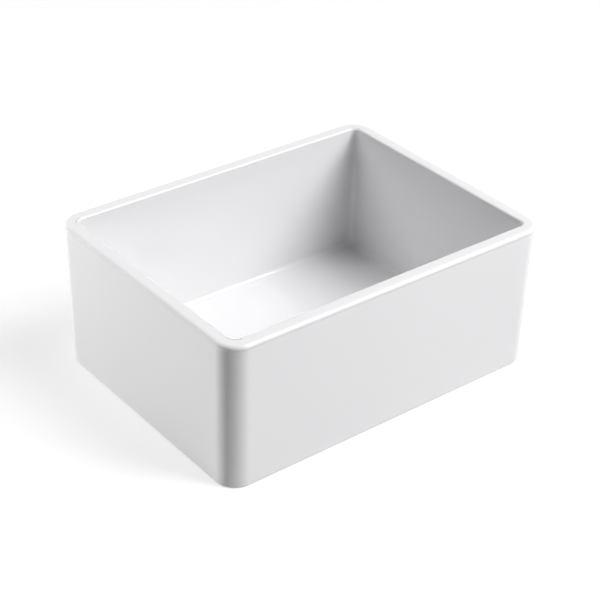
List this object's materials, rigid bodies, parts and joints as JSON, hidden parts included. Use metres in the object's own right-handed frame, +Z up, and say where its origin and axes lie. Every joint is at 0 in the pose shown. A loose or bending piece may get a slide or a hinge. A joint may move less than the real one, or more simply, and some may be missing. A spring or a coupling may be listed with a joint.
{
  "type": "apron front kitchen sink",
  "caption": "Rectangular white fireclay apron front sink with one deep bowl, round corners and a basket strainer drain with a lift-out basket and sliding stopper.",
  "frame": {"origin": "centre of the flat base that the basin rests on, on the axis of the drain", "axes": "+X along the basin's length, to the right seen from the front; the apron front faces -Y; +Z up out of the bowl"},
  "size_m": [0.5998, 0.4538, 0.422],
  "materials": {
    "glazed_fireclay": "gloss white glaze",
    "stainless": "satin",
    "cast_brass": "as cast",
    "black_rubber": "matte",
    "putty": "matte",
    "fibre": "matte",
    "nylon": "satin"
  },
  "bodies": {
    "sink": {"sink_basin": "glazed_fireclay", "putty_ring": "putty", "strainer_body": "stainless", "rubber_gasket": "black_rubber", "friction_ring": "fibre", "lock_nut": "cast_brass", "crossbar": "stainless", "tailpiece_washer": "nylon", "tailpiece": "stainless", "coupling_nut": "cast_brass"},
    "basket": {"basket_cup": "stainless", "basket_bush": "stainless", "bush_washer": "stainless", "grip_ring": "black_rubber"},
    "stopper": {"stopper_stem": "stainless", "stopper_plate": "stainless", "stopper_seal": "black_rubber", "stem_washer": "stainless", "stem_nut": "stainless", "stopper_knob": "stainless"}
  },
  "joints": [
    {"name": "basket_lift", "type": "slide", "parent": "sink", "child": "basket", "axis": [0, 0, 1], "range_m": [0, 0.3]},
    {"name": "stopper_pull", "type": "slide", "parent": "basket", "child": "stopper", "axis": [0, 0, 1], "range_m": [0, 0.0065]}
  ]
}
